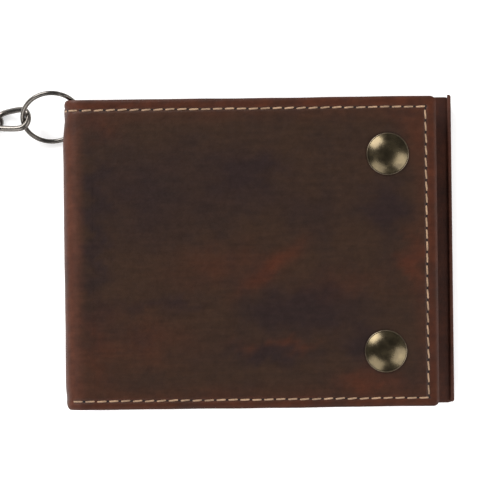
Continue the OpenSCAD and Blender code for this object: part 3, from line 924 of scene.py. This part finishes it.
def snap_cap(name):
    """A domed cap with a rolled rim, on the post that holds it."""
    low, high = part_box(name)
    at = (low + high) / 2
    r, top, bottom = (high.x - low.x) / 2, high.z, low.z
    dome_r = r - 0.4 * MM
    rise = top - TOP_Z - 0.62 * MM
    big = (dome_r ** 2 + rise ** 2) / (2 * rise)
    half = math.degrees(math.asin(dome_r / big))
    bead_r, post_r, foot_r = 0.24 * MM, 1.5 * MM, 2.1 * MM
    rim = arc(r - bead_r, TOP_Z + 0.02 * MM + bead_r, bead_r, 140, -90, 12)
    profile = [(p[0], p[1]) for p in arc(0, top - big, big, 90, 90 - half, 18)]
    profile[0] = (0, top)
    profile += [(r - 2 * bead_r - 0.02 * MM, TOP_Z + 0.42 * MM), *rim, (post_r, TOP_Z + 0.01 * MM),
                (post_r, bottom + 0.35 * MM), (foot_r, bottom + 0.3 * MM), (foot_r, bottom), (0, bottom)]
    piece = lathe(name + "_brass", profile, 72)
    moved(piece, Matrix.Translation((at.x, at.y, 0)))
    piece.data.materials.append(look("brass"))
    piece.data.materials.append(look("brass_rim"))
    for face in piece.data.polygons:
        c = face.center
        if math.hypot(c.x - at.x, c.y - at.y) > r - 2 * bead_r and c.z > TOP_Z + 0.1 * MM:
            face.material_index = 1
    smooth(piece, 50)
    finish(piece, "front_half", [], [name])


def wire_ring():
    """The ring: bent wire with its butted ends just visible."""
    low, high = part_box("ring")
    ring_r, wire_r, tilt, butt_at = 8.6 * MM, 0.7 * MM, 37.8, 62
    deselect()
    bpy.ops.mesh.primitive_torus_add(major_radius=ring_r, minor_radius=wire_r,
                                     major_segments=144, minor_segments=20)
    piece = active("split_ring")

    def pinch(p):
        a = math.degrees(math.atan2(p.y, p.x))
        k = 1 - 0.16 * bell(a - butt_at, 1.6)
        rim = Vector((p.x, p.y, 0)).normalized() * ring_r
        return rim + (p - rim) * k

    shape(piece, pinch)
    moved(piece, Matrix.Translation((low + high) / 2) @ Matrix.Rotation(math.radians(8), 4, "Z")
          @ Matrix.Rotation(math.radians(tilt), 4, "X"))
    smooth(piece, 60)
    finish(piece, "ring", [look("gunmetal")], ["ring"])


# ---------------------------------------------------------------- chain

LINK_STEP = 9.4 * MM
FREE_LINKS, RUN_LINKS, TURN_LINKS = 3, 7, 6
# The heading of each link: out from the ring, down beside the wallet, round, and back up
HEADINGS = ([180, 197, 227, 256] + RUN_LINKS * [270]
            + [270 - 180 / TURN_LINKS * (i + 0.5) for i in range(TURN_LINKS)] + RUN_LINKS * [90])
CHAIN_START = Vector((-69.1 * MM, 41.0 * MM, 6.5 * MM))


def chain_joints():
    """Where each link meets the one before: the chain lies on the table past its first link."""
    at = CHAIN_START
    low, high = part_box("link_3")
    level = (low.z + high.z) / 2 - 0.45 * MM
    places = [at]
    for heading in HEADINGS:
        a = math.radians(heading)
        drop = 0.27 * MM if len(places) <= FREE_LINKS else 0.0
        at = Vector((at.x + LINK_STEP * math.cos(a), at.y + LINK_STEP * math.sin(a) - drop, level))
        places.append(at)
    return places


def curb_link(name, a, b, start, end):
    """One twisted link between two joints, turned by start at its first end and end at its last."""
    sizes = bpy.context.scene.chain_sizes
    bend = (sizes.link_width - sizes.wire) / 2
    half = (sizes.link_length - sizes.link_width) / 2
    deselect()
    bpy.ops.mesh.primitive_torus_add(major_radius=bend, minor_radius=sizes.wire / 2,
                                     major_segments=48, minor_segments=12)
    piece = active(name)

    def twist(p):
        # the middle of the torus is drawn out straight, then turned along its length
        around = math.atan2(p.y, p.x)
        stretch = half * math.tanh(4.5 * math.cos(around)) / math.tanh(4.5)
        x, y, z = p.x + stretch, p.y, p.z
        t = min(1.0, max(0.0, 0.5 + x / (2 * (half + bend))))
        roll = start + (end - start) * t
        return Vector((x, y * math.cos(roll) - z * math.sin(roll), y * math.sin(roll) + z * math.cos(roll)))

    shape(piece, twist)
    run = b - a
    turn = Matrix.Rotation(math.atan2(run.y, run.x), 4, "Z") @ Matrix.Rotation(
        -math.atan2(run.z, math.hypot(run.x, run.y)), 4, "Y")
    moved(piece, Matrix.Translation((a + b) / 2) @ turn)
    smooth(piece, 60)
    return piece


# ---------------------------------------------------------------- stage

PAPER = {"Base Color": (0.92, 0.92, 0.915, 1), "Roughness": 0.8,
         "Emission Color": (1, 1, 1, 1), "Emission Strength": 0.48}
# Name, place in metres, size and watts of each light
LIGHTS = (
    ("key_light", (-0.55, 0.75, 0.6), 0.7, 12.0),
    ("fill_light", (0.85, -0.35, 0.6), 0.9, 8.0),
    ("low_light", (-0.5, -0.8, 0.6), 0.9, 6.0),
)
SKY = 0.2
# The camera looks straight down from half a metre
CAMERA_AT = (-2.695 * MM, 0.914 * MM, 514.6 * MM)
CAMERA_TURN = math.radians(-0.7)
LENS = 122.45


# ---------------------------------------------------------------- operators


class WALLET_OT_covers(bpy.types.Operator):
    """Add the front cover and the back of the shell"""

    bl_idname = "wallet.covers"
    bl_label = "Covers"
    bl_options = {"REGISTER", "UNDO"}

    def execute(self, context):
        for name, x1, turned, body, node in (
            ("cover_leather", COVER_X, False, "front_half", "shell_front"),
            ("back_leather", BACK_X, True, "back_half", "shell_back"),
        ):
            piece = sewn_plate(name, PLATE_X, x1, turned)
            finish(piece, body, [look("shell"), look("edge")], [node])
        return {"FINISHED"}


class WALLET_OT_spine(bpy.types.Operator):
    """Add the leather that bends round the spine"""

    bl_idname = "wallet.spine"
    bl_label = "Spine"
    bl_options = {"REGISTER", "UNDO"}

    def execute(self, context):
        materials = [look("shell"), look("edge")]
        finish(spine_strip("spine_root", length_at(Vector((PLATE_X, 0, SHELL_T / 2))), ROOT_END, hole=True),
               "back_half", materials)
        for name, s0, s1, bend, nodes in SPINE_STRETCHES:
            piece = spine_strip(name, s0, s1)
            for m in materials:
                piece.data.materials.append(m)
            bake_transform(piece)
            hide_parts(*nodes)
        return {"FINISHED"}


class WALLET_OT_lining(bpy.types.Operator):
    """Add the hems, facings, inner panels and the bound edge"""

    bl_idname = "wallet.lining"
    bl_label = "Lining"
    bl_options = {"REGISTER", "UNDO"}

    def execute(self, context):
        r = context.scene.wallet_sizes.corner_radius
        for half in ("back", "front"):
            body = half + "_half"
            for piece, node in (
                (hem_piece("hem_" + half), "hem_" + half),
                (box_piece("top_facing_" + half), "top_facing_" + half),
                (box_piece("inner_panel_" + half, r, 0.3 * MM), "inner_panel_" + half),
            ):
                finish(piece, body, [look("lining")], [node])
        (x0, y0, z0), (x1, y1, z1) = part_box("edge_binding_back")
        outline = free_outline(x0, x1, y0 - 0.2 * MM, y1 + 0.8 * MM, 0.7 * MM)
        finish(flat_piece("bound_edge", outline, z0 - 0.1 * MM, z1, 0.3 * MM),
               "back_half", [look("binding")], ["edge_binding_back"])
        return {"FINISHED"}


class WALLET_OT_slots(bpy.types.Operator):
    """Add the card slots and the window pocket with its film"""

    bl_idname = "wallet.slots"
    bl_label = "Card slots"
    bl_options = {"REGISTER", "UNDO"}

    def execute(self, context):
        for half, numbers in (("back", (1, 2, 3)), ("front", (1, 2))):
            for n in numbers:
                node = f"card_slot_{half}_{n}"
                finish(box_piece(node, edge=0.25 * MM), half + "_half",
                       [look("slots")], [node])
        pocket = box_piece("window_frame")
        low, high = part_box("window_frame")
        window = high - low - 2 * Vector((WINDOW_MARGIN, WINDOW_MARGIN, 0))
        deselect()
        bpy.ops.mesh.primitive_cube_add(size=1)
        drill = active("drill")
        moved(drill, Matrix.Translation((low + high) / 2)
              @ Matrix.Diagonal((window.x, window.y, 9 * MM, 1)))
        cut(pocket, drill)
        smooth(pocket, 40)
        finish(pocket, "front_half", [look("slots")], ["window_frame"])
        repaint("film", "window_film")
        return {"FINISHED"}


class WALLET_OT_stitching(bpy.types.Operator):
    """Add every row of stitches and the painted shade of its holes"""

    bl_idname = "wallet.stitching"
    bl_label = "Stitching"
    bl_options = {"REGISTER", "UNDO"}

    def execute(self, context):
        sizes = context.scene.wallet_sizes
        m, low = sizes.stitch_edge, sizes.low_edge
        groove = sizes.groove_depth
        for name, x0, x1, z, side, body, node in (
            ("cover", ROW_X, COVER_X, TOP_Z, 1, "front_half", "thread_front"),
            ("back", SPINE_X + 9.3 * MM, BACK_X, 0.0, -1, "back_half", "thread_back"),
        ):
            rows = [
                row((x0, HALF_H - m), (x1 - m, HALF_H - m), z, side),
                row((x0, -HALF_H + low), (x1 - m, -HALF_H + low), z, side),
                row((x1 - m, -HALF_H + low + 0.9 * MM), (x1 - m, HALF_H - m - 0.9 * MM), z, side),
            ]
            seam(name, rows, body, [node], groove)
        first = length_at(Vector((ROW_X, 0, TOP_Z - SHELL_T / 2))) - 0.32 * MM
        for name, rows, stretch in (
            ("spine_shoulder_row", [(S_TURN, first, HALF_H - m),
                                    (first - sizes.stitch_pitch, first, -HALF_H + low)], 2),
            ("spine_wall_row", [(S_TURN - sizes.stitch_pitch, S_TURN, HALF_H - m)], 1),
        ):
            places = [spine_row(s0, s1, y, groove * 0.8) for s0, s1, y in rows]
            seam(name, places, None, ["thread_spine"], 0, SPINE_STRETCHES[stretch][3])
        inside_rows(sizes)
        return {"FINISHED"}


def inside_rows(sizes):
    """The rows that show when the wallet is open."""
    m = sizes.stitch_edge
    for half, body, side in (("back", "back_half", 1), ("front", "front_half", -1)):
        rows = []
        for n in (1, 2, 3):
            node = f"card_slot_{half}_{n}" if (half, n) != ("front", 3) else "window_frame"
            (x0, y0, z0), (x1, y1, z1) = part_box(node)
            z = z1 if side > 0 else z0
            right = x0 + 9.8 * MM if n < 3 else x1 - 1.5 * MM
            for y in (y1 - 1.5 * MM, y0 + 1.5 * MM):
                rows.append(row((x0 + 1 * MM, y), (right, y), z, side))
            if n == 3:
                rows.append(row((x1 - 1.5 * MM, y0 + 2 * MM), (x1 - 1.5 * MM, y1 - 2 * MM), z, side))
        seam("slots_" + half, rows, body, ["thread_slots_" + half], -0.1 * MM)
    (x0, y0, z0), (x1, y1, z1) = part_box("inner_panel_front")
    seam("lining", [
        row((x0 + 1 * MM, y0 + m - 1.9 * MM), (x1 - m, y0 + m - 1.9 * MM), z0, -1),
        row((x1 - m + 0.3 * MM, y0 + m + 1.2 * MM), (x1 - m + 0.3 * MM, y1 - m - 1.2 * MM), z0, -1),
    ], "front_half", ["thread_lining"], -0.1 * MM)


def repaint(material, *nodes):
    """Gives CAD nodes whose shape is right a finished material."""
    for node in nodes:
        found = bpy.data.objects[node]
        found.data.materials.clear()
        found.data.materials.append(look(material))


class WALLET_OT_snaps(bpy.types.Operator):
    """Add the two snap fasteners"""

    bl_idname = "wallet.snaps"
    bl_label = "Snaps"
    bl_options = {"REGISTER", "UNDO"}

    def execute(self, context):
        for place in ("upper", "lower"):
            snap_cap("snap_cap_" + place)
            repaint("steel", "snap_socket_" + place, "snap_spring_" + place, "snap_stud_" + place)
            repaint("brass", "stud_rivet_" + place)
        return {"FINISHED"}


class WALLET_OT_ring(bpy.types.Operator):
    """Add the ring in its eyelet"""

    bl_idname = "wallet.ring"
    bl_label = "Ring"
    bl_options = {"REGISTER", "UNDO"}

    def execute(self, context):
        wire_ring()
        repaint("gunmetal", "eyelet", "eyelet_washer")
        return {"FINISHED"}


class WALLET_OT_chain(bpy.types.Operator):
    """Add the curb chain and its clasp"""

    bl_idname = "wallet.chain"
    bl_label = "Chain"
    bl_options = {"REGISTER", "UNDO"}

    def execute(self, context):
        sizes = context.scene.chain_sizes
        half = sizes.twist / 2
        joints = chain_joints()
        links = []
        for n, (a, b) in enumerate(zip(joints, joints[1:]), 1):
            # the first link hangs in the ring, turned less than the others
            start, end = (math.radians(12), half + math.radians(8)) if n == 1 else (-half, half)
            links.append(curb_link(f"curb_link_{n}", a, b, start, end))
        for n, link in enumerate(links[:FREE_LINKS], 1):
            finish(link, f"link_{n}", [look("gunmetal")], [f"link_{n}"])
        chain = joined("chain_lying", links[FREE_LINKS:])
        finish(chain, "chain", [look("gunmetal")], ["chain_run_1", "chain_turn", "chain_run_2"])
        metal_nodes = ["swivel_eye", "clasp_barrel", "clasp_hook", "clasp_gate", "gate_pin", "gate_spring"]
        repaint("gunmetal", *metal_nodes[:4])
        repaint("brass_rim", *metal_nodes[4:])
        lying = joints[FREE_LINKS:]
        path = [tuple(a.lerp(b, t)) for a, b in zip(lying, lying[1:]) for t in (0, 0.5)]
        path.append(tuple(lying[-1]))
        return {"FINISHED"}


class WALLET_OT_stage(bpy.types.Operator):
    """Add the floor, the lights and the camera"""

    bl_idname = "wallet.stage"
    bl_label = "Stage"
    bl_options = {"REGISTER", "UNDO"}

    def execute(self, context):
        deselect()
        bpy.ops.mesh.primitive_plane_add(size=3, location=(0, 0, 0))
        floor = active("floor")
        paper = bpy.data.materials.new("paper")
        paper.use_nodes = True
        sockets = paper.node_tree.nodes["Principled BSDF"].inputs
        for socket, value in PAPER.items():
            sockets[socket].default_value = value
        floor.data.materials.append(paper)
        for name, place, size, power in LIGHTS:
            bpy.ops.object.light_add(type="AREA", location=place)
            light = bpy.context.object
            light.name = name
            light.data.size = size
            light.data.energy = power
            light.rotation_mode = "QUATERNION"
            light.rotation_quaternion = (-Vector(place)).to_track_quat("-Z", "Y")
        world = context.scene.world or bpy.data.worlds.new("studio")
        context.scene.world = world
        world.use_nodes = True
        world.node_tree.nodes["Background"].inputs["Color"].default_value = (1, 1, 1, 1)
        world.node_tree.nodes["Background"].inputs["Strength"].default_value = SKY
        bpy.ops.object.camera_add(location=CAMERA_AT, rotation=(0, 0, CAMERA_TURN))
        camera = bpy.context.object
        camera.name = "camera"
        camera.data.lens = LENS
        camera.data.sensor_width = 36
        camera.data.clip_end = 10
        camera.data.clip_start = 0.01
        context.scene.camera = camera
        context.scene.view_settings.view_transform = "Standard"
        return {"FINISHED"}


OPERATORS = (
    WALLET_OT_covers, WALLET_OT_spine, WALLET_OT_lining, WALLET_OT_slots, WALLET_OT_stitching,
    WALLET_OT_snaps, WALLET_OT_ring, WALLET_OT_chain, WALLET_OT_stage,
)


class WALLET_PT_panel(bpy.types.Panel):
    """Buttons that build the wallet"""

    bl_idname = "WALLET_PT_panel"
    bl_label = "Chain Wallet"
    bl_space_type = "VIEW_3D"
    bl_region_type = "UI"
    bl_category = "Wallet"

    def draw(self, context):
        for operator in OPERATORS:
            self.layout.operator(operator.bl_idname)


CLASSES = (WalletSizes, WalletColours, ChainSizes, *OPERATORS, WALLET_PT_panel)


def register():
    for cls in CLASSES:
        bpy.utils.register_class(cls)
    bpy.types.Scene.wallet_sizes = bpy.props.PointerProperty(type=WalletSizes)
    bpy.types.Scene.wallet_colours = bpy.props.PointerProperty(type=WalletColours)
    bpy.types.Scene.chain_sizes = bpy.props.PointerProperty(type=ChainSizes)


def unregister():
    del bpy.types.Scene.chain_sizes, bpy.types.Scene.wallet_colours, bpy.types.Scene.wallet_sizes
    for cls in reversed(CLASSES):
        bpy.utils.unregister_class(cls)


def main():
    register()
    for operator in OPERATORS:
        area, name = operator.bl_idname.split(".")
        getattr(getattr(bpy.ops, area), name)()


if __name__ == "__main__":
    main()
